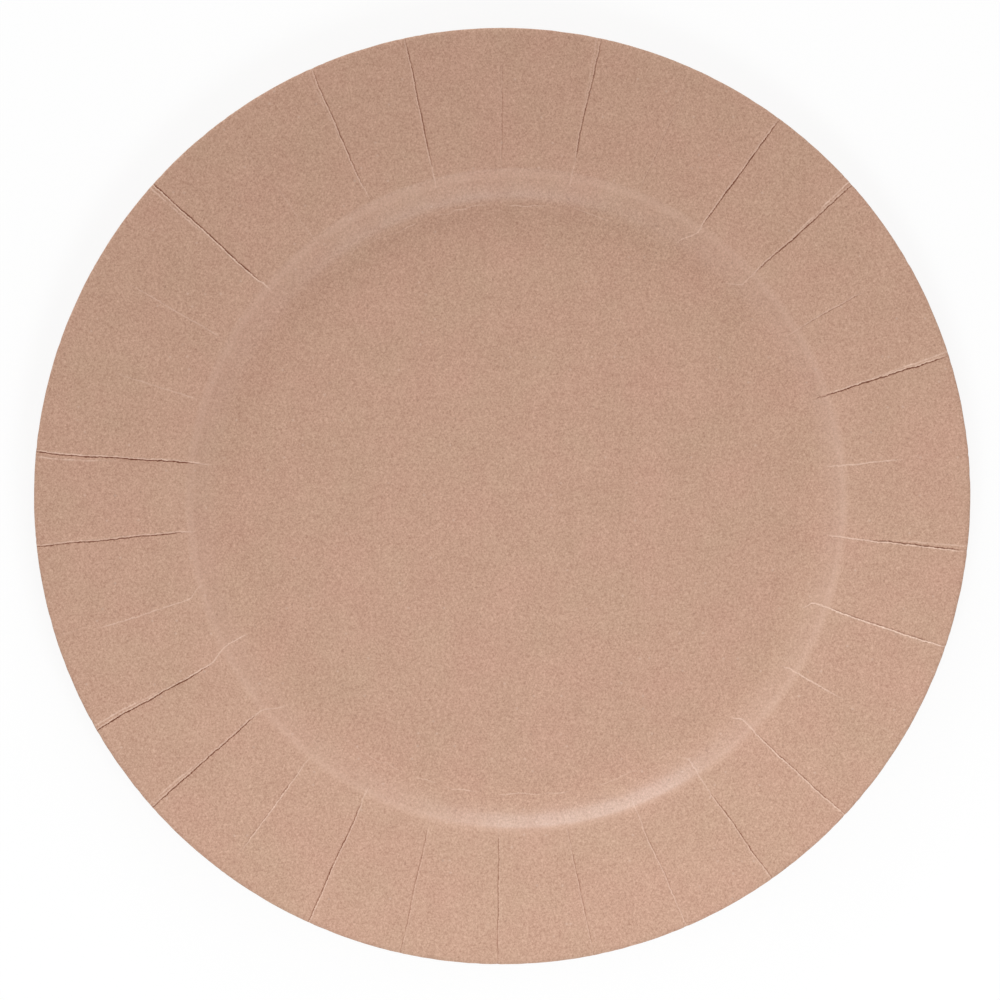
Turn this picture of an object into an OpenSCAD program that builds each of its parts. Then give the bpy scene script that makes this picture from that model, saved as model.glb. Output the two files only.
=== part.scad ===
// Pressed paperboard plate with a pleated rim.
// One round blank, scored around its edge, is pressed into a floor, a wall and a sloping rim.
// The origin is under the middle of the cut outline, on the surface that the plate stands on.

/* [Blank] */
// Diameter of the cut outline
plate_d = 225; // [190:1:280]
// Thickness of the board
board_t = 0.5; // [0.3:0.05:0.8]

/* [Well] */
// Diameter of the well, measured at the corner between the wall and the rim
well_d = 159.6; // [120:0.2:175]
// Depth of the well, from that corner to the floor
well_depth = 5; // [3:0.1:9]
// Slope of the wall
wall_slope = 38; // [25:1:60]
// Radius of the bend at the foot of the wall
foot_r = 14; // [4:0.5:22]
// Radius of the bend at the shoulder, where the wall meets the rim
shoulder_r = 3; // [1:0.25:5]
// How far the press sat off the middle of the blank, to the right
well_shift_x = 3.5; // [-6:0.1:6]
// How far the press sat off the middle of the blank, to the back
well_shift_y = -0.9; // [-6:0.1:6]

/* [Rim] */
// Slope of the rim
rim_slope = 11; // [4:0.5:20]

/* [Pleats] */
// Number of pleats
pleat_count = 30; // [12:1:40]
// Turn of the first pleat from the front
pleat_turn = -0.3; // [-6:0.1:6]
// How far the score lines sat off the middle of the blank, to the right
score_shift_x = -0.6; // [-3:0.1:3]
// How far the score lines sat off the middle of the blank, to the back
score_shift_y = -1; // [-3:0.1:3]
// How far the pleats run in from the shoulder, over the wall
pleat_run_in = 5; // [3:0.25:6]
// Width of a tuck at the cut outline
tuck_w = 1.1; // [0.6:0.05:2]
// How far a tuck stands proud of either face of the board
tuck_proud = 0.15; // [0.05:0.01:0.25]
// Width of the fold line beside each tuck
fold_w = 0.35; // [0.2:0.05:0.6]
// Depth of the fold line in the food side
fold_depth = 0.2; // [0.1:0.01:0.28]

/* [Hidden] */
$fn = 180;
board_colour = "#c29d88";
// The most that one step of a bend turns
bend_step = 7;
// How far cutting shapes reach past what they cut
past = 2;

plate_r = plate_d / 2;
well_shift = [well_shift_x, well_shift_y];
score_shift = [score_shift_x, score_shift_y];
// Where the straight lines of the floor, the wall and the rim would meet
foot_corner = [well_d / 2 - well_depth / tan(wall_slope), 0];
shoulder_corner = [well_d / 2, well_depth];
// Straight length that each bend takes up on either side of its corner
shoulder_bend = shoulder_r * tan((wall_slope - rim_slope) / 2);
foot_room = norm(shoulder_corner - foot_corner) - shoulder_bend;
foot_bend = min(foot_r * tan(wall_slope / 2), foot_room);
// The pressed cone reaches past the outline all round, and the outline then trims it
rim_reach = plate_r + norm(well_shift) + norm(score_shift) + past;

function along(slope) = [cos(slope), sin(slope)];
function square_to(slope) = [-sin(slope), cos(slope)];

// Steps of a bend that turns one slope into the next around a corner, each as [point, slope]
function bend(corner, slope_in, slope_out, bend_len) =
    let (
        turn = slope_out - slope_in,
        from = corner - bend_len * along(slope_in),
        radius = bend_len / tan(turn / 2),
        centre = from + radius * square_to(slope_in),
        steps = ceil(abs(turn) / bend_step)
    )
    [for (i = [0 : steps])
        let (slope = slope_in + turn * i / steps)
        [centre - radius * square_to(slope), slope]];

// A point on the straight line of the rim
function on_rim(radius) =
    [[radius, well_depth + (radius - well_d / 2) * tan(rim_slope)], rim_slope];

// The underside of the board from the middle of the well outwards
function underside(reach) = concat(
    [[[0, 0], 0]],
    bend(foot_corner, 0, wall_slope, foot_bend),
    bend(shoulder_corner, wall_slope, rim_slope, shoulder_bend),
    [on_rim(reach)]
);

// A pressed layer between two heights that are measured square to the underside of the board
module pressed_layer(low, high, reach) {
    line = underside(reach);
    face = [for (p = line) p[0] + high * square_to(p[1])];
    back = [for (i = [len(line) - 1 : -1 : 0]) line[i][0] + low * square_to(line[i][1])];
    translate(well_shift)
        rotate_extrude()
            polygon(concat(face, back));
}

// Distance from where the score lines would meet, in one direction, to a circle around the well's axis
function to_well_circle(direction, radius) =
    let (
        forward = (well_shift - score_shift) * along(direction),
        sideways = (well_shift - score_shift) * square_to(direction)
    )
    forward + sqrt(radius * radius - sideways * sideways);

// One shape in plan on every pleat: its wide end at the outline, its narrow end on the wall
module at_pleats(left_w, right_w) {
    reach = rim_reach + past;
    for (i = [0 : pleat_count - 1]) {
        direction = 360 * i / pleat_count + pleat_turn - 90;
        start = to_well_circle(direction, well_d / 2 - pleat_run_in);
        widening = (reach - start) / (plate_r - start);
        translate([score_shift_x, score_shift_y, -past])
            rotate(direction)
                linear_extrude(2 * rim_reach)
                    polygon([
                        [start, 0],
                        [reach, -right_w * widening],
                        [reach, left_w * widening]
                    ]);
    }
}

// Folded strips of board that take up the spare edge of the blank
module tucks() {
    intersection() {
        pressed_layer(-tuck_proud, board_t + tuck_proud, rim_reach + past);
        at_pleats(tuck_w, 0);
    }
}

// The pressed-in line along the edge of each tuck
module fold_lines() {
    intersection() {
        pressed_layer(board_t - fold_depth, board_t + tuck_proud + past, rim_reach + past);
        at_pleats(fold_w / 2, fold_w / 2);
    }
}

module outline() {
    translate([0, 0, -past])
        cylinder(r = plate_r, h = rim_reach);
}

module plate() {
    color(board_colour)
        intersection() {
            difference() {
                union() {
                    pressed_layer(0, board_t, rim_reach);
                    tucks();
                }
                fold_lines();
            }
            outline();
        }
}

plate();
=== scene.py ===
import math
import bpy
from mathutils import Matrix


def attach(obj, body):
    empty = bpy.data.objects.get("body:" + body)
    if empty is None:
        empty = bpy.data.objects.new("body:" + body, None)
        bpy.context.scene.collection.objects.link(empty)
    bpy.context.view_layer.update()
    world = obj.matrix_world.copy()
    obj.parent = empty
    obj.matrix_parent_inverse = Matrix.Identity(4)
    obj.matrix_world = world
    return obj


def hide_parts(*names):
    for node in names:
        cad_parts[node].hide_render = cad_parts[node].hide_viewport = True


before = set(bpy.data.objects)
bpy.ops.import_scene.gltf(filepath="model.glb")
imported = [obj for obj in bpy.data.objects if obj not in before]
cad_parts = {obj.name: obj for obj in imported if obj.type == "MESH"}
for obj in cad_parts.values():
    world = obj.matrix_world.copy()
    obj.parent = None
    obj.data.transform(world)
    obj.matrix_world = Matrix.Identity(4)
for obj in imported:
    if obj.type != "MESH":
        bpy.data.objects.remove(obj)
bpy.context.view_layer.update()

# The plate: one round blank of kraft board, die-cut and scored, then pressed in a single stroke.
# The stroke leaves a flat floor, a curved wall, a rubbed shoulder and a sloping rim, and the spare
# edge of the blank folds into tucks along the score lines.
MM = 0.001
outline_r = 112.5 * MM
board_t = 0.5 * MM
well_r = 79.8 * MM
well_depth = 5.0 * MM
wall_slope = math.radians(38.0)
rim_slope = math.radians(11.0)
foot_r = 14.0 * MM
shoulder_r = 3.0 * MM
well_shift = (3.5 * MM, -0.9 * MM, 0.0)
score_shift = (-0.6 * MM, -1.0 * MM, 0.0)
pleat_turn = math.radians(-0.3)

# The pleats from the front one round by the right. Each has come open by its gap, from a radius outwards,
# and the gap is painted dark as its shadow. A pale line runs beside it between two radii, partly cracked
# fibres and partly painted highlight, on the side of the next pleat if the figure is above 0, else on the
# other side, and where the pale stops the gap closes too. The tuck lies on one side or the other in the
# same way, and each pleat lies a little aside of its even place.
# Radii and distances are in millimetres, radii from where the score lines would meet.
pleats = [
    # gap, opens at, pale, starts at, stops at, tuck, aside
    (0.43, 79.5, 0.14, 77.0, 113.0, 0.1, 0.1),
    (0.31, 78.0, -0.18, 78.0, 114.0, 0.1, 0.0),
    (0.26, 82.0, -0.34, 79.5, 113.0, 0.1, 0.1),
    (0.56, 86.5, -0.32, 76.0, 113.0, -0.1, 0.2),
    (0.45, 82.0, -0.55, 77.0, 113.0, -0.1, 0.0),
    (0.00, 80.0, -0.55, 79.3, 94.0, -0.1, 0.2),
    (0.36, 82.5, -0.80, 77.8, 113.0, -0.1, 0.2),
    (0.78, 89.5, -0.58, 80.0, 111.0, 0.5, 0.3),
    (0.00, 80.0, 0.52, 80.0, 96.0, 0.1, 0.1),
    (1.00, 79.5, 0.58, 84.0, 112.0, 0.9, 0.2),
    (0.28, 82.0, 0.28, 80.0, 100.0, 0.1, 0.2),
    (0.80, 82.5, 0.36, 75.5, 113.0, 0.8, 0.1),
    (0.85, 82.0, 0.42, 76.0, 113.0, 0.1, -0.1),
    (0.20, 80.0, 0.16, 80.0, 110.0, 0.1, -0.1),
    (0.62, 84.0, 0.28, 78.0, 113.0, 0.4, -0.2),
    (0.24, 79.5, 0.12, 79.0, 106.0, 0.1, -0.1),
    (0.65, 82.0, 0.36, 77.5, 113.0, 0.1, -0.3),
    (0.54, 82.0, 0.40, 80.0, 113.0, 0.3, -0.3),
    (0.08, 80.0, 0.18, 76.0, 92.0, 0.1, -0.4),
    (0.92, 78.0, 0.64, 75.5, 113.0, 0.7, -0.2),
    (0.14, 79.0, 0.36, 79.0, 102.0, 0.1, 0.0),
    (0.10, 79.0, 0.36, 78.0, 96.0, 0.1, -0.2),
    (0.95, 73.0, -0.62, 71.5, 113.0, 0.8, 0.6),
    (0.74, 76.0, -0.42, 74.5, 113.0, -0.1, 0.1),
    (0.00, 80.0, -0.36, 75.0, 100.0, -0.1, 0.1),
    (0.88, 80.5, -0.55, 70.0, 113.0, -0.7, 0.0),
    (0.82, 78.5, -0.40, 72.5, 113.0, -0.6, -0.4),
    (0.30, 79.0, 0.42, 77.5, 104.0, 0.1, -0.3),
    (0.64, 79.5, 0.34, 76.5, 113.0, 0.1, -0.4),
    (0.36, 78.5, 0.14, 77.0, 113.0, 0.1, -0.2),
]
# Pleats that curl, by number: how far sideways, from which radius inwards, and over what length
curls = {
    3: (-1.9, 77.3, 1.9),
    4: (-1.2, 78.7, 1.7),
    5: (-0.5, 80.7, 1.4),
    6: (-1.9, 79.6, 1.9),
    11: (3.3, 78.6, 3.9),
    12: (2.6, 80.6, 5.2),
    22: (-1.3, 108.0, 34.0),
    24: (-2.4, 79.0, 4.0),
    25: (-2.3, 81.0, 7.0),
    26: (2.6, 77.4, 5.0),
}
no_curl = (0.0, 80.0, 1.0)


class Field:
    """A value in a node tree, so that a shape's rule can be written as a formula."""

    def __init__(self, tree, socket):
        self.tree = tree
        self.socket = socket

    def math(self, operation, *others):
        node = self.tree.nodes.new("ShaderNodeMath")
        node.operation = operation
        for place, value in zip(node.inputs, (self, *others)):
            feed(self.tree, place, value)
        return Field(self.tree, node.outputs[0])

    def __add__(self, other):
        return self.math("ADD", other)

    def __radd__(self, other):
        return self.math("ADD", other)

    def __sub__(self, other):
        return self.math("SUBTRACT", other)

    def __rsub__(self, other):
        return (self * -1.0).math("ADD", other)

    def __mul__(self, other):
        return self.math("MULTIPLY", other)

    def __truediv__(self, other):
        return self.math("DIVIDE", other)

    def __rtruediv__(self, other):
        return self.math("POWER", -1.0) * other

    def least(self, other):
        return self.math("MINIMUM", other)

    def most(self, other):
        return self.math("MAXIMUM", other)

    def within(self, low, high):
        return self.most(low).least(high)

    def step(self, low, high):
        """0 below low, 1 above high, and a smooth rise between."""
        node = self.tree.nodes.new("ShaderNodeMapRange")
        node.interpolation_type = "SMOOTHSTEP"
        for name, value in (("Value", self), ("From Min", low), ("From Max", high)):
            feed(self.tree, node.inputs[name], value)
        return Field(self.tree, node.outputs["Result"])

    def hump(self, middle, half_width):
        """1 at the middle, falling to 0 at half_width on either side."""
        off = (self - middle) / half_width
        return (1.0 - off * off).most(0.0)

    def wave(self, scale, seed, detail=2.0):
        """Smooth noise along this value, from -1 to 1, with its own seed."""
        node = self.tree.nodes.new("ShaderNodeTexNoise")
        node.noise_dimensions = "2D"
        node.inputs["Scale"].default_value = 1.0
        node.inputs["Detail"].default_value = detail
        place = joined(self.tree, self * scale, seed, 0.0)
        self.tree.links.new(place, node.inputs["Vector"])
        return Field(self.tree, node.outputs[0]) * 2.0 - 1.0


def feed(tree, place, value):
    """Link a field to a socket, or set the socket to a plain number."""
    if isinstance(value, Field):
        tree.links.new(value.socket, place)
    else:
        place.default_value = value


def joined(tree, x, y, z):
    """The three values as one vector socket."""
    node = tree.nodes.new("ShaderNodeCombineXYZ")
    for place, value in zip(node.inputs, (x, y, z)):
        feed(tree, place, value)
    return node.outputs[0]


def underside(size, r):
    """Slope and height of the board's underside at this distance from the press axis."""
    wall = size("Wall Slope")
    rim = size("Rim Slope")
    sin_wall = wall.math("SINE")
    sin_rim = rim.math("SINE")
    foot_len = size("Foot Radius") * (wall * 0.5).math("TANGENT")
    foot_corner = size("Well Radius") - size("Well Depth") / wall.math("TANGENT")
    foot_from = foot_corner - foot_len
    foot_to = foot_corner + foot_len * wall.math("COSINE")
    shoulder_len = size("Shoulder Radius") * ((wall - rim) * 0.5).math("TANGENT")
    shoulder_from = size("Well Radius") - shoulder_len * wall.math("COSINE")
    shoulder_to = size("Well Radius") + shoulder_len * rim.math("COSINE")
    foot_slope = ((r - foot_from) / size("Foot Radius")).within(0.0, sin_wall).math("ARCSINE")
    turned = ((r - shoulder_from) / size("Shoulder Radius")).within(0.0, sin_wall - sin_rim)
    shoulder_slope = (sin_wall - turned).math("ARCSINE")
    height = size("Foot Radius") * (1.0 - foot_slope.math("COSINE"))
    height = height + (r.least(shoulder_from) - foot_to).most(0.0) * wall.math("TANGENT")
    height = height + size("Shoulder Radius") * (shoulder_slope.math("COSINE") - wall.math("COSINE"))
    height = height + (r - shoulder_to).most(0.0) * rim.math("TANGENT")
    return foot_slope.least(shoulder_slope), height


def store_marks(tree, sheet, marks):
    """Keep each named field on the points of the sheet, for its finish to read."""
    for name, value in marks.items():
        store = tree.nodes.new("GeometryNodeStoreNamedAttribute")
        store.data_type = "FLOAT"
        store.domain = "POINT"
        store.inputs["Name"].default_value = name
        tree.links.new(sheet, store.inputs["Geometry"])
        tree.links.new(value.socket, store.inputs["Value"])
        sheet = store.outputs["Geometry"]
    return sheet


def close_sheet(tree, sheet, material):
    """Join the sheet's seams into one closed board, and give it its finish."""
    ending = [
        ("GeometryNodeMergeByDistance", "Geometry", "Distance", 0.001 * MM),
        ("GeometryNodeFlipFaces", "Mesh", None, None),
        ("GeometryNodeSetShadeSmooth", "Geometry", None, None),
        ("GeometryNodeRealizeInstances", "Geometry", None, None),
        ("GeometryNodeSetMaterial", "Geometry", "Material", material),
    ]
    for kind, way, setting, value in ending:
        node = tree.nodes.new(kind)
        tree.links.new(sheet, node.inputs[way])
        sheet = node.outputs[way]
        if setting:
            node.inputs[setting].default_value = value
    leave = tree.nodes.new("NodeGroupOutput")
    tree.links.new(sheet, leave.inputs["Geometry"])


def build_plate_tree(material):
    """The rule of the pressed sheet: columns run out along the pleats, rows round the press."""
    tree = bpy.data.node_groups.new("pressed_plate", "GeometryNodeTree")
    face = tree.interface
    face.new_socket("Geometry", in_out="INPUT", socket_type="NodeSocketGeometry")
    face.new_socket("Geometry", in_out="OUTPUT", socket_type="NodeSocketGeometry")
    sizes = {
        "Outline Radius": outline_r,
        "Board": board_t,
        "Edge Set Back": 0.12 * MM,
        "Edge Ragged": 0.20 * MM,
        "Well Radius": well_r,
        "Well Depth": well_depth,
        "Wall Slope": wall_slope,
        "Rim Slope": rim_slope,
        "Foot Radius": foot_r,
        "Shoulder Radius": shoulder_r,
        "Well Shift X": well_shift[0],
        "Well Shift Y": well_shift[1],
        "Score Shift X": score_shift[0],
        "Score Shift Y": score_shift[1],
        "Pleats": float(len(pleats)),
        "Pleat Turn": pleat_turn,
        "Pleat Start": 71.0 * MM,
        "Pleat Run In": 10.0 * MM,
        "Wander": 0.22 * MM,
        "Fine Wander": 0.24 * MM,
        "Tuck Width": 1.15 * MM,
        "Tuck Proud": 0.10 * MM,
        "Fold Width": 0.27 * MM,
        "Fold Depth": 0.28 * MM,
        "Ridge Width": 0.30 * MM,
        "Ridge Proud": 0.06 * MM,
        "Panel Ride": 0.045 * MM,
        "Panel Ride Length": 9.0 * MM,
        "Wrinkle Radius": 71.4 * MM,
        "Wrinkle Wander": 1.6 * MM,
        "Wrinkle Fine Wander": 0.5 * MM,
        "Wrinkle Width": 0.40 * MM,
        "Wrinkle Proud": 0.05 * MM,
        "Seed": 4.0,
    }
    for name, value in sizes.items():
        socket = face.new_socket(name, in_out="INPUT", socket_type="NodeSocketFloat")
        socket.default_value = value
    entry = tree.nodes.new("NodeGroupInput")

    def size(name):
        return Field(tree, entry.outputs[name])

    # Rows from the middle of the food side out to the cut edge: radius reached, and rows to get there
    floor_end = 64.0 * MM
    bands = [(floor_end, 8), (70.4 * MM, 4), (72.8 * MM, 8), (77.4 * MM, 5), (80.6 * MM, 8)]
    rim_start = bands[-1][0]
    rim_rows = 32
    edge_rows = 2
    columns_each = 24
    band_rows = sum(rows for _, rows in bands)
    side_rows = band_rows + rim_rows + edge_rows
    all_rows = 2.0 * side_rows

    # The sheet is a grid: up one column lie the rows of the food side, then those of the underside
    grid = tree.nodes.new("GeometryNodeMeshGrid")
    grid.inputs["Vertices X"].default_value = len(pleats) * columns_each + 1
    grid.inputs["Vertices Y"].default_value = 2 * side_rows
    nudge = 1e-5
    index = Field(tree, tree.nodes.new("GeometryNodeInputIndex").outputs[0])
    column = (index / all_rows + nudge).math("FLOOR")
    line = index - column * all_rows
    row = line.least((all_rows - 1.0) - line)
    food_side = line.math("LESS_THAN", side_rows - 0.5)

    # Which pleat a column belongs to, and where it lies across that pleat's share of the rim
    share = (column / float(columns_each) + nudge).math("FLOOR")
    across = column / float(columns_each) - share - 0.5
    pleat = share.math("MODULO", float(len(pleats)))

    def of_pleat(name):
        named = tree.nodes.new("GeometryNodeInputNamedAttribute")
        named.inputs["Name"].default_value = name
        pick = tree.nodes.new("GeometryNodeSampleIndex")
        tree.links.new(entry.outputs["Geometry"], pick.inputs["Geometry"])
        tree.links.new(named.outputs["Attribute"], pick.inputs["Value"])
        tree.links.new(pleat.socket, pick.inputs["Index"])
        return Field(tree, pick.outputs[0])

    # The row's radius about the press, and how far out along the rim it lies
    radius = row * 0.0
    first_row = 0
    reached = 0.0
    for end, rows in bands:
        radius = radius + ((row - float(first_row)) / float(rows)).within(0.0, 1.0) * (end - reached)
        first_row += rows
        reached = end
    out = ((row - float(band_rows)) / float(rim_rows)).within(0.0, 1.0)
    edge = (row - float(band_rows + rim_rows)).within(0.0, 1.0)

    # Columns crowd towards the fold line from the wall outwards, so that the folds stay crisp
    even_to = 35.0 * MM
    crowded_from = 66.0 * MM
    spread_at_fold = 0.07
    packed = across * spread_at_fold + across * across * across * (4.0 * (1.0 - spread_at_fold))
    offset = across + (packed - across) * radius.step(even_to, crowded_from)
    pitch = 2.0 * math.pi / size("Pleats")
    angle = (share + offset) * pitch + size("Pleat Turn")
    out_x = angle.math("SINE")
    out_y = angle.math("COSINE") * -1.0
    side_x = out_y * -1.0
    side_y = out_x

    # The score line from where all of them would meet, out to the start of the rim and to the cut edge
    well_x = size("Well Shift X")
    well_y = size("Well Shift Y")
    score_x = size("Score Shift X")
    score_y = size("Score Shift Y")
    forward = (well_x - score_x) * out_x + (well_y - score_y) * out_y
    sideways = (well_x - score_x) * side_x + (well_y - score_y) * side_y
    to_rim = forward + (rim_start * rim_start - sideways * sideways).math("SQRT")
    score_forward = score_x * out_x + score_y * out_y
    score_sideways = score_x * side_x + score_y * side_y
    reach = size("Outline Radius") * size("Outline Radius") - score_sideways * score_sideways
    bite = 0.02 * MM
    ragged = angle.wave(55.0, size("Seed") + 200.0, detail=3.0) * size("Edge Ragged") + bite
    set_back = (1.0 - edge) * size("Edge Set Back")
    to_edge = reach.math("SQRT") - score_forward - ragged.most(0.0) - set_back
    span = to_edge - to_rim
    grow = radius / rim_start
    flat_x = well_x + (score_x + out_x * to_rim - well_x) * grow + out_x * span * out
    flat_y = well_y + (score_y + out_y * to_rim - well_y) * grow + out_y * span * out
    along = to_rim * grow + span * out

    # Folds wander a little, and some curl away sideways at their inner ends
    swing_from = 71.0 * MM
    seed = pleat * 7.31 + size("Seed")
    near = (1.0 - offset * offset * 4.0).most(0.0)
    wander = along.wave(110.0, seed, detail=0.0) * size("Wander")
    wander = wander + along.wave(650.0, seed + 40.0) * size("Fine Wander")
    curl_from = of_pleat("curl_from")
    curl = of_pleat("curl") * (1.0 - along.step(curl_from - of_pleat("curl_length"), curl_from))
    swing = (wander + curl + of_pleat("aside")) * radius.step(floor_end, swing_from) * (near * near)
    flat_x = flat_x + side_x * swing
    flat_y = flat_y + side_y * swing
    rel_x = flat_x - well_x
    rel_y = flat_y - well_y
    r = (rel_x * rel_x + rel_y * rel_y).math("SQRT")
    slope, height = underside(size, r)

    # How open and how pale the pleat is at this distance along it, in patches, and not between pleats
    beside = 1.0 - across.math("ABSOLUTE").step(0.28, 0.4)
    patchy = along.wave(380.0, seed + 17.0)
    pale_patchy = along.wave(420.0, seed + 61.0)
    opens = of_pleat("gap_from")
    pale_from = of_pleat("pale_from")
    pale_to = of_pleat("pale_to")
    opening = along.step(opens - 2.0 * MM, opens + 5.0 * MM)
    closing = 1.0 - along.step(pale_to - 3.0 * MM, pale_to + 3.0 * MM)
    paling = along.step(pale_from - 1.0 * MM, pale_from + 1.0 * MM)
    tight_edge = 1.0 - along.step(100.0 * MM, 110.0 * MM) * 0.2
    gap = of_pleat("gap") * opening * closing * (patchy * 0.8 + 0.95) * tight_edge * beside
    pale = of_pleat("pale") * (paling * closing) * (pale_patchy * 0.6 + 0.95) * beside

    # The tuck: a fold line with a gap in it, and beside it a strip that widens towards the cut edge
    start = size("Pleat Start")
    ramp = r.step(start, start + size("Pleat Run In"))
    taper = ((r - start) / (size("Outline Radius") - start)).within(0.02, 1.0)
    tuck = of_pleat("tuck")
    tuck_side = tuck.math("SIGN")
    tuck_w = size("Tuck Width") * taper
    s = offset * pitch * along
    x = s * tuck_side
    strip = x.step(0.04 * MM, 0.22 * MM) * (1.0 - x.step(tuck_w * 0.4, tuck_w * 1.2))
    uneven = (along.wave(340.0, seed + 90.0) * 0.5 + 0.7).within(0.0, 1.0)
    raised = gap * 0.75 + tuck.math("ABSOLUTE") * 0.25
    ridge = s.hump(0.0, size("Ridge Width")) * (pale.math("ABSOLUTE") - gap).within(0.0, 1.0)
    lift = strip * ramp * raised * size("Tuck Proud") * uneven + ridge * size("Ridge Proud")
    slot = s.hump(0.0, size("Fold Width") * (gap * 0.35 + 0.4))
    groove = slot * ramp * gap.within(0.0, 1.0) * size("Fold Depth")

    # Each panel rides up a little where it lies over its neighbour's tuck
    ride = x.step(0.0, 0.3 * MM) * (1.0 - (x / size("Panel Ride Length")).within(0.0, 1.0))
    ride = ride * ride * of_pleat("gap") * taper * size("Panel Ride")

    # Fine wrinkles where the floor turns up into the wall, at the front and the back
    front_back = (out_y * out_y).math("POWER", 3.0)
    wrinkle_r = size("Wrinkle Radius") + angle.wave(7.0, size("Seed") + 300.0) * size("Wrinkle Wander")
    wrinkle_r = wrinkle_r + angle.wave(22.0, size("Seed") + 310.0) * size("Wrinkle Fine Wander")
    shown = angle.wave(9.0, size("Seed") + 320.0, detail=3.0).step(-0.25, 0.15) * front_back
    wrinkle = r.hump(wrinkle_r, size("Wrinkle Width")) * shown * food_side

    # Both faces of the board, square to its slope, with the cut edge bevelled
    bevel_share = 0.28
    tuck_below = 0.9
    level = food_side * size("Board")
    bevel = edge * (food_side * -2.0 + 1.0) * size("Board") * bevel_share
    relief = food_side * (lift - groove + ride + wrinkle * size("Wrinkle Proud"))
    relief = relief - (1.0 - food_side) * (lift * tuck_below - ride)
    thick = level + bevel + relief
    lean = thick * slope.math("SINE") / r.most(0.001 * MM)
    x_out = flat_x - rel_x * lean
    y_out = flat_y - rel_y * lean
    z_out = height + thick * slope.math("COSINE")
    place = tree.nodes.new("GeometryNodeSetPosition")
    tree.links.new(grid.outputs["Mesh"], place.inputs["Geometry"])
    tree.links.new(joined(tree, x_out, y_out, z_out), place.inputs["Position"])

    # The crease of the tuck shows on the outer part of the rim only
    creased = tuck * along.step(92.0 * MM, 101.0 * MM) * (patchy * 1.2 + 0.6).within(0.0, 1.0)
    sheet = store_marks(tree, place.outputs["Geometry"], {
        "across_fold": s,
        "fold_gap": gap * ramp,
        "fold_pale": pale,
        "fold_crease": creased * beside,
        "crease_at": tuck_w * tuck_side,
        "cut_edge": edge,
        "food_side": food_side,
        "across_wrinkle": r - wrinkle_r,
        "wrinkle": shown * food_side,
    })
    close_sheet(tree, sheet, material)
    return tree


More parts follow.
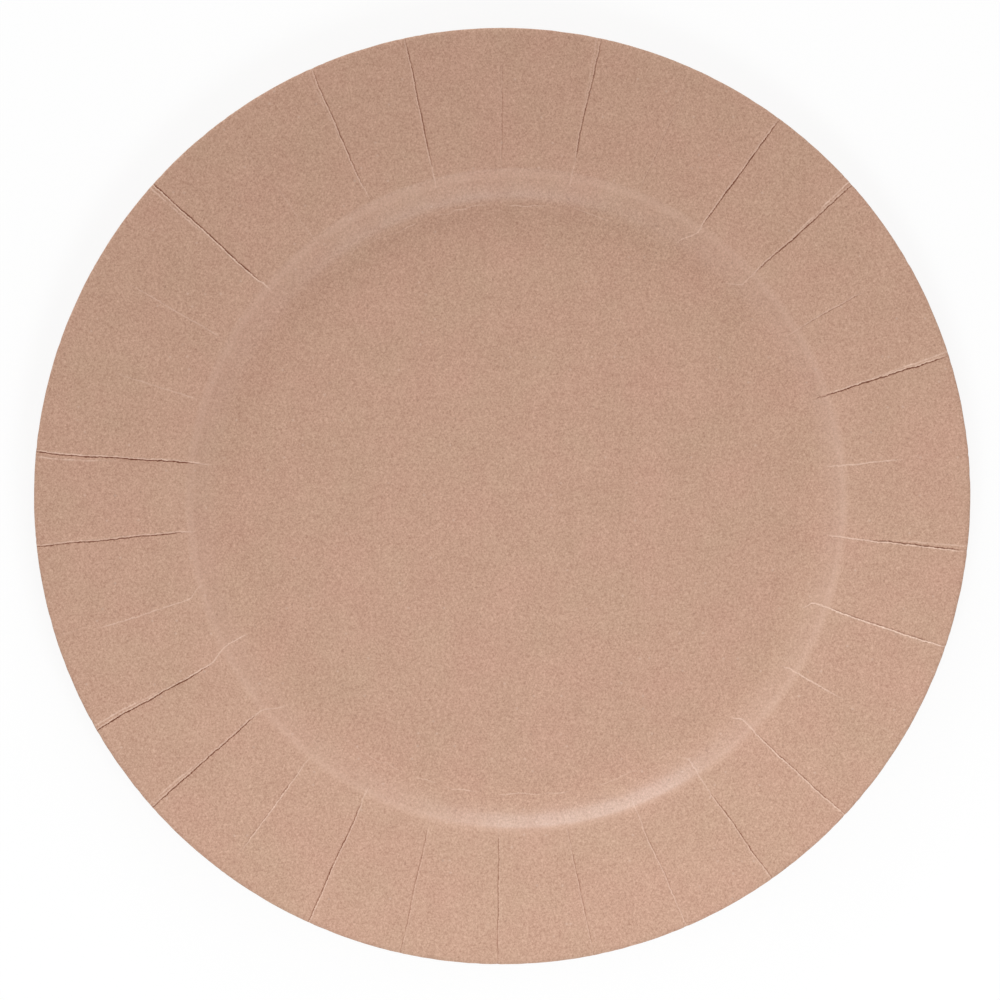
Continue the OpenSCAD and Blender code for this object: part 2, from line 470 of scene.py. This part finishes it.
def build_board_finish():
    """Uncoated kraft board: mottled fibres, specks, rubbed smooth on the wall and shoulder, with painted
    sheen there and painted shadow and highlight along the folds.
    """
    finish = bpy.data.materials.new("kraft_board")
    finish.use_nodes = True
    tree = finish.node_tree
    shader = tree.nodes["Principled BSDF"]
    where = tree.nodes.new("ShaderNodeTexCoord").outputs["Object"]

    def laid(seed, turn=0.0, stretch=1.0):
        """The place on the plate, moved by the seed, turned, and drawn out along one direction."""
        lay = tree.nodes.new("ShaderNodeMapping")
        lay.vector_type = "TEXTURE"
        lay.inputs["Location"].default_value = (0.31 * seed, 0.17 * seed, 0.0)
        lay.inputs["Rotation"].default_value = (0.0, 0.0, math.radians(turn))
        lay.inputs["Scale"].default_value = (stretch, 1.0, 1.0)
        tree.links.new(where, lay.inputs["Vector"])
        return lay.outputs[0]

    def noise(scale, seed, detail=1.0, turn=0.0, stretch=1.0):
        """Noise round 0 at this many features a metre."""
        node = tree.nodes.new("ShaderNodeTexNoise")
        node.noise_dimensions = "2D"
        node.inputs["Scale"].default_value = scale
        node.inputs["Detail"].default_value = detail
        node.inputs["Roughness"].default_value = 0.6
        tree.links.new(laid(seed, turn, stretch), node.inputs["Vector"])
        return Field(tree, node.outputs[0]) - 0.5

    def mark(name):
        node = tree.nodes.new("ShaderNodeAttribute")
        node.attribute_name = name
        return Field(tree, node.outputs["Fac"])

    def blend(amount, first, second, kind="MIX"):
        """Two colours mixed by an amount, or multiplied; each may be a socket or a colour."""
        node = tree.nodes.new("ShaderNodeMix")
        node.data_type = "RGBA"
        node.blend_type = kind
        feed(tree, node.inputs[0], amount)
        for place, colour in ((node.inputs[6], first), (node.inputs[7], second)):
            if isinstance(colour, tuple):
                place.default_value = (*colour, 1.0)
            else:
                tree.links.new(colour, place)
        return node.outputs[2]

    def stroke(distance, half_width):
        """1 on a line, falling to 0 at half_width on either side."""
        return 1.0 - (distance.math("ABSOLUTE") / half_width).within(0.0, 1.0)

    # Fibres lie in every direction: three drawn-out grains, the palest and the darkest of them showing
    fibres_a_metre = 3000.0
    fibre_stretch = 2.4
    strands = []
    for seed, turn in ((1.0, 8.0), (2.0, 67.0), (3.0, 125.0)):
        strands.append(noise(fibres_a_metre, seed, turn=turn, stretch=fibre_stretch))
    palest = strands[0].most(strands[1]).most(strands[2])
    darkest = strands[0].least(strands[1]).least(strands[2])
    fibres = palest + darkest
    grain = fibres * 0.70 + noise(480.0, 4.0, detail=2.0) * 0.22 + noise(110.0, 5.0) * 0.09

    # Tone: kraft pulp, a little pinker in soft blotches, lighter and darker by the grain
    kraft_tan = (0.5405, 0.337, 0.2365)
    kraft_pink = (0.5555, 0.327, 0.2365)
    grain_dark = (0.60, 0.47, 0.42)
    grain_pale = (1.40, 1.53, 1.58)
    blotch = (noise(55.0, 6.0, detail=2.0) * 1.8 + 0.5).within(0.0, 1.0)
    tone = blend(blotch, kraft_tan, kraft_pink)
    lit = (grain + 0.5).within(0.0, 1.0)
    colour = blend(1.0, tone, blend(lit, grain_dark, grain_pale), kind="MULTIPLY")

    # Specks of bark and of bleached pulp, each in a small share of the cells
    bark = (0.28, 0.15, 0.10)
    bleached_pulp = (0.70, 0.52, 0.42)
    speck_rare = 0.90
    speck_strength = 0.35
    cells = tree.nodes.new("ShaderNodeTexVoronoi")
    cells.voronoi_dimensions = "2D"
    cells.inputs["Scale"].default_value = 330.0
    tree.links.new(laid(11.0), cells.inputs["Vector"])
    spot = 1.0 - Field(tree, cells.outputs["Distance"]).step(0.05, 0.13)
    draw = tree.nodes.new("ShaderNodeSeparateColor")
    tree.links.new(cells.outputs["Color"], draw.inputs[0])
    for number, tint in enumerate((bark, bleached_pulp)):
        chosen = Field(tree, draw.outputs[number]).step(speck_rare, speck_rare + 0.06)
        colour = blend(chosen * spot * speck_strength, colour, tint)

    # Rubbed by the press: the steep wall and the shoulder are smooth, and shine more than the rest.
    # Their colour is also painted paler there as sheen. The palest line is on the shoulder, partly
    # burnish and partly painted highlight, and lies a little towards the front; a faint painted sheen
    # spreads in a broad band round it.
    rubbed_and_sheen_tint = (0.80, 0.55, 0.43)
    line_shift = 0.004
    shifted = tree.nodes.new("ShaderNodeVectorMath")
    shifted.operation = "SUBTRACT"
    shifted.inputs[1].default_value = well_shift
    tree.links.new(where, shifted.inputs[0])
    parts = tree.nodes.new("ShaderNodeSeparateXYZ")
    tree.links.new(shifted.outputs[0], parts.inputs[0])
    to_right = Field(tree, parts.outputs["X"])
    to_back = Field(tree, parts.outputs["Y"])
    r = (to_right * to_right + to_back * to_back).math("SQRT")
    patch = (noise(140.0, 8.0) * 0.7 + 0.9).within(0.0, 1.0) * mark("food_side")
    rub_and_sheen = r.step(71.0 * MM, 77.0 * MM) * (1.0 - r.step(78.3 * MM, 80.4 * MM)) * patch
    burnish_and_highlight = (r + to_back * line_shift).hump(78.9 * MM, 1.35 * MM) * patch
    shoulder_sheen = r.hump(80.5 * MM, 6.0 * MM) * mark("food_side")

    # Folds: the gap painted dark as shadow; beside it a pale line, partly cracked fibres and partly
    # painted highlight, fainter on the tuck's crease and on the wrinkles at the foot
    cracked_fibre_and_highlight = (0.90, 0.66, 0.53)
    gap_shadow = (0.225, 0.072, 0.034)
    cut_fibre = (0.66, 0.46, 0.35)
    pale_aside = 0.28 * MM
    gap = mark("fold_gap")
    pale = mark("fold_pale")
    crease = mark("fold_crease")
    frayed = mark("across_fold") + strands[0] * (0.40 * MM)
    gap_line = stroke(frayed, (gap * 0.07 + 0.125) * MM)
    pale_line = stroke(frayed - pale.math("SIGN") * gap.step(0.05, 0.35) * pale_aside, 0.22 * MM)
    crease_line = stroke(frayed - mark("crease_at"), 0.28 * MM)
    wrinkle_line = stroke(mark("across_wrinkle") + strands[1] * (0.3 * MM), 0.18 * MM)
    bare_and_highlight = pale_line * pale.math("ABSOLUTE") + crease_line * crease.math("ABSOLUTE") * 0.7
    bare_and_highlight = bare_and_highlight + wrinkle_line * mark("wrinkle") * 0.35
    # Pale fold, crease and wrinkle lines: partly cracked fibre, partly painted highlight
    colour = blend((bare_and_highlight * 1.3).within(0.0, 1.0), colour, cracked_fibre_and_highlight)
    # Painted shadow in the fold's gap
    colour = blend((gap_line * gap * 1.6).within(0.0, 0.94), colour, gap_shadow)
    colour = blend(mark("cut_edge") * 0.3, colour, cut_fibre)
    # Painted sheen and highlight: the rubbed wall, the shoulder line and the band round it are mixed
    # towards a paler, greyer tan
    colour = blend(rub_and_sheen * 0.083 + burnish_and_highlight * 0.16 + shoulder_sheen * 0.03, colour, rubbed_and_sheen_tint)

    tree.links.new(colour, shader.inputs["Base Color"])
    tree.links.new((0.74 + fibres * 0.12).socket, shader.inputs["Roughness"])
    tree.links.new((rub_and_sheen * 0.64).socket, shader.inputs["Coat Weight"])
    shader.inputs["Specular IOR Level"].default_value = 0.35
    shader.inputs["Coat Roughness"].default_value = 0.33
    shader.inputs["Coat IOR"].default_value = 1.6
    bump = tree.nodes.new("ShaderNodeBump")
    bump.inputs["Strength"].default_value = 0.35
    bump.inputs["Distance"].default_value = 0.05 * MM
    tree.links.new(fibres.socket, bump.inputs["Height"])
    tree.links.new(bump.outputs[0], shader.inputs["Normal"])
    return finish


board_finish = build_board_finish()
plate_tree = build_plate_tree(board_finish)

# The tree reads the pleats as points, one a pleat, with the figures of the lists above as attributes
pleat_mesh = bpy.data.meshes.new("pleat_list")
pleat_mesh.from_pydata([(0.0, 0.0, 0.0)] * len(pleats), [], [])
curl_of = [curls.get(number, no_curl) for number in range(len(pleats))]
figures = {
    "gap": [pleat[0] for pleat in pleats],
    "gap_from": [pleat[1] * MM for pleat in pleats],
    "pale": [pleat[2] for pleat in pleats],
    "pale_from": [pleat[3] * MM for pleat in pleats],
    "pale_to": [pleat[4] * MM for pleat in pleats],
    "tuck": [pleat[5] for pleat in pleats],
    "aside": [pleat[6] * MM for pleat in pleats],
    "curl": [curl[0] * MM for curl in curl_of],
    "curl_from": [curl[1] * MM for curl in curl_of],
    "curl_length": [curl[2] * MM for curl in curl_of],
}
for name, values in figures.items():
    pleat_mesh.attributes.new(name, "FLOAT", "POINT").data.foreach_set("value", values)

maker = bpy.data.objects.new("plate_maker", pleat_mesh)
bpy.context.scene.collection.objects.link(maker)
press = maker.modifiers.new("press", "NODES")
press.node_group = plate_tree
for socket in plate_tree.interface.items_tree:
    if socket.in_out == "INPUT" and socket.socket_type == "NodeSocketFloat":
        press[socket.identifier] = socket.default_value
graph = bpy.context.evaluated_depsgraph_get()
plate_mesh = bpy.data.meshes.new_from_object(maker.evaluated_get(graph), depsgraph=graph)
maker.modifiers.remove(press)
bpy.data.objects.remove(maker)
plate_mesh.name = "paper_plate"
plate = bpy.data.objects.new("paper_plate", plate_mesh)
bpy.context.scene.collection.objects.link(plate)
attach(plate, "root")
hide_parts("plate")

# The floor: a plain white sheet just under the plate's base, wide enough to fill the view.
# It looks white to the camera and keeps a faint shadow of the plate.
floor_half = 12.0
floor_level = -0.2 * MM
floor_white = (0.85, 0.85, 0.85, 1.0)
floor_glow_strength = 1.03
floor_glow_share = 0.86
floor_mesh = bpy.data.meshes.new("floor")
floor_mesh.from_pydata(
    [(-floor_half, -floor_half, floor_level), (floor_half, -floor_half, floor_level),
     (floor_half, floor_half, floor_level), (-floor_half, floor_half, floor_level)],
    [], [(0, 1, 2, 3)])
floor = bpy.data.objects.new("floor", floor_mesh)
bpy.context.scene.collection.objects.link(floor)
floor_finish = bpy.data.materials.new("floor_white")
floor_finish.use_nodes = True
floor_nodes = floor_finish.node_tree
floor_shader = floor_nodes.nodes["Principled BSDF"]
floor_shader.inputs["Base Color"].default_value = floor_white
floor_shader.inputs["Roughness"].default_value = 0.9
floor_glow = floor_nodes.nodes.new("ShaderNodeEmission")
floor_glow.inputs["Strength"].default_value = floor_glow_strength
floor_mix = floor_nodes.nodes.new("ShaderNodeMixShader")
floor_path = floor_nodes.nodes.new("ShaderNodeLightPath")
floor_seen = Field(floor_nodes, floor_path.outputs["Is Camera Ray"])
floor_seen = floor_seen.most(Field(floor_nodes, floor_path.outputs["Is Glossy Ray"]))
floor_seen = floor_seen.most(Field(floor_nodes, floor_path.outputs["Is Transmission Ray"]))
floor_nodes.links.new((floor_seen * floor_glow_share).socket, floor_mix.inputs["Fac"])
floor_nodes.links.new(floor_shader.outputs[0], floor_mix.inputs[1])
floor_nodes.links.new(floor_glow.outputs[0], floor_mix.inputs[2])
floor_nodes.links.new(floor_mix.outputs[0], floor_nodes.nodes["Material Output"].inputs["Surface"])
floor_mesh.materials.append(floor_finish)

# The light: a slightly warm room all round, and slightly cool soft lamps from the back,
# from near above in front, and a little from the left and from the front.
room_tint = (1.06, 0.98, 0.945, 1.0)
room_strength = 0.507
lamp_tint = (0.92, 1.02, 1.07)
world = bpy.data.worlds.new("studio")
world.use_nodes = True
room = world.node_tree.nodes["Background"]
room.inputs["Color"].default_value = room_tint
room.inputs["Strength"].default_value = room_strength
bpy.context.scene.world = world


def add_softbox(name, place, width, depth, watts):
    """A soft light of this width and depth that looks at the middle of the plate."""
    lamp = bpy.data.lights.new(name, "AREA")
    lamp.shape = "RECTANGLE"
    lamp.size = width
    lamp.size_y = depth
    lamp.energy = watts
    lamp.color = lamp_tint
    box = bpy.data.objects.new(name, lamp)
    box.location = place
    box.rotation_euler = (-box.location).to_track_quat("-Z", "Y").to_euler()
    box.visible_camera = False
    bpy.context.scene.collection.objects.link(box)


add_softbox("back_softbox", place=(-0.282, 1.329, 0.339), width=1.0, depth=0.6, watts=10.2)
add_softbox("near_softbox", place=(0.04, -0.195, 0.375), width=0.16, depth=0.16, watts=0.72)
add_softbox("left_softbox", place=(-1.379, 0.0, 0.243), width=1.0, depth=0.4, watts=1.1)
add_softbox("front_softbox", place=(0.21, -1.19, 0.70), width=1.0, depth=0.5, watts=0.7)

# The camera: it looks straight down from well above, so that the plate shows next to no perspective.
# The outline's middle and radius in the picture set where it stands and its lens.
frame_px = 1000.0
outline_px = 468.5
outline_at_px = (502.3, 496.1)
rim_level = 12.0 * MM
px_size = outline_r / outline_px
camera_far = 2.0
camera = bpy.data.cameras.new("camera")
camera.sensor_width = 36.0
camera.lens = camera.sensor_width * camera_far / (frame_px * px_size)
eye = bpy.data.objects.new("camera", camera)
eye.location = (
    (frame_px / 2.0 - outline_at_px[0]) * px_size,
    (outline_at_px[1] - frame_px / 2.0) * px_size,
    rim_level + camera_far,
)
bpy.context.scene.collection.objects.link(eye)
bpy.context.scene.camera = eye
bpy.context.scene.view_settings.view_transform = "Standard"
